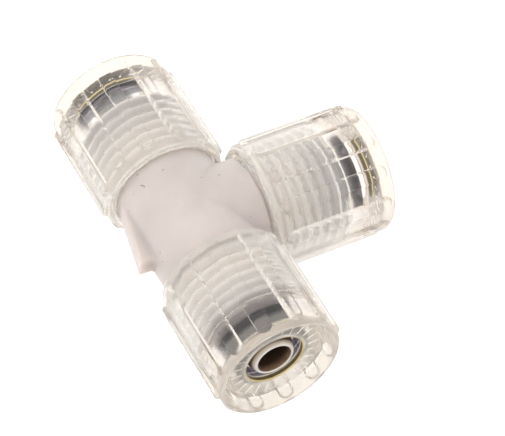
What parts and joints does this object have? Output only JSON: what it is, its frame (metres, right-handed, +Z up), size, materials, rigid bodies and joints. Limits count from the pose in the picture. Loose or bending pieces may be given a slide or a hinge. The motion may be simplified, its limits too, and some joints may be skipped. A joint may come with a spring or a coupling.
{
  "type": "tee tube connector",
  "caption": "Tee connector joining push-on tubes, a moulded body with a nipple in each port and ribbed union nuts that screw over the tubes.",
  "frame": {"origin": "middle of the footprint, on the ground plane the nuts rest on", "axes": "+Y along the run, away from the front port; +X along the branch, out of its port; +Z up, square to the plane of the tee"},
  "size_m": [0.0351, 0.0496, 0.0178],
  "materials": {
    "body_plastic": "milky translucent plastic with a soft sheen",
    "front_nut_plastic": "clear natural plastic, slightly warm",
    "rear_nut_plastic": "clear natural plastic, slightly warm",
    "branch_nut_plastic": "clear natural plastic, slightly warm"
  },
  "bodies": {
    "tee": {"tee_body": "body_plastic"},
    "front_nut": {"front_union_nut": "front_nut_plastic"},
    "rear_nut": {"rear_union_nut": "rear_nut_plastic"},
    "branch_nut": {"branch_union_nut": "branch_nut_plastic"}
  },
  "joints": [
    {"name": "front_nut_turn", "type": "hinge", "parent": "tee", "child": "front_nut", "pos_m": [-0.00822, 0, 0.00892], "axis": [0, -1, 0], "continuous": true},
    {"name": "rear_nut_turn", "type": "hinge", "parent": "tee", "child": "rear_nut", "pos_m": [-0.00822, 0, 0.00892], "axis": [0, 1, 0], "continuous": true},
    {"name": "branch_nut_turn", "type": "hinge", "parent": "tee", "child": "branch_nut", "pos_m": [-0.00822, 0, 0.00892], "axis": [1, 0, 0], "continuous": true}
  ]
}
